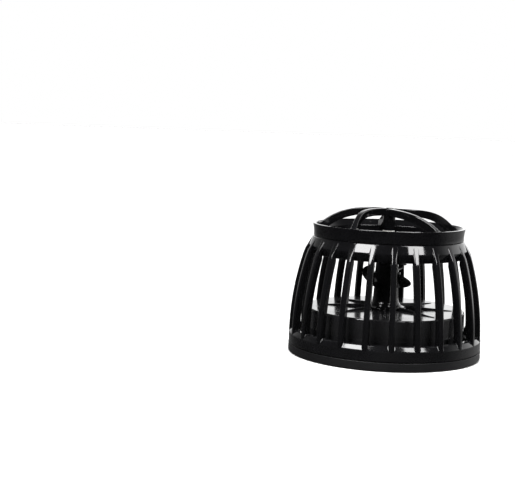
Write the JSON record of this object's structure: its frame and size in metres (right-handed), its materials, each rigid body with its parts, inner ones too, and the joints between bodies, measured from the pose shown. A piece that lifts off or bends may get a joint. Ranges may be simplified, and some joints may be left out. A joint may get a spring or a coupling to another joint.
{
  "type": "wave maker pump wet side",
  "caption": "In-tank half of a magnetically driven wave pump: barred strainer cage on a round base, magnet rotor with propellers, domed guard of spiral arms on the outlet.",
  "frame": {"origin": "on the pump's axis, at the lowest point of the pads on the back face", "axes": "+Z along the pump's axis from the back plate towards the outlet"},
  "size_m": [0.11, 0.11, 0.0841],
  "materials": {
    "black_plastic": "glossy injection-moulded black",
    "grey_silicone": "soft matt silicone",
    "black_rubber": "matt rubber",
    "white_ceramic": "ground alumina",
    "nickel_plate": "nickel-plated magnet",
    "plated_steel": "zinc-plated steel"
  },
  "bodies": {
    "base": {"base_plate": "black_plastic", "rear_pad_1": "grey_silicone", "rear_pad_2": "grey_silicone", "rear_pad_3": "grey_silicone", "shaft": "white_ceramic", "rear_shaft_bush": "black_rubber", "rear_thrust_washer": "white_ceramic"},
    "rotor": {"rotor_drum": "black_plastic", "drum_cover": "black_plastic", "back_iron_ring": "plated_steel", "magnet_1": "nickel_plate", "magnet_2": "nickel_plate", "magnet_3": "nickel_plate", "magnet_4": "nickel_plate", "magnet_5": "nickel_plate", "magnet_6": "nickel_plate", "magnet_7": "nickel_plate", "magnet_8": "nickel_plate", "hub_column": "black_plastic", "rear_bearing_sleeve": "white_ceramic", "front_bearing_sleeve": "white_ceramic", "lower_propeller": "black_plastic", "main_propeller": "black_plastic", "propeller_nut": "black_plastic"},
    "cage": {"cage_shell": "black_plastic", "outlet_guard": "black_plastic", "front_shaft_bush": "black_rubber", "front_thrust_washer": "white_ceramic"}
  },
  "joints": [
    {"name": "rotor_spin", "type": "hinge", "parent": "base", "child": "rotor", "pos_m": [0, 0, 0.0262], "axis": [0, 0, 1], "continuous": true},
    {"name": "cage_twist", "type": "hinge", "parent": "base", "child": "cage", "pos_m": [0, 0, 0.0052], "axis": [0, 0, 1], "range_deg": [0, 20]}
  ]
}
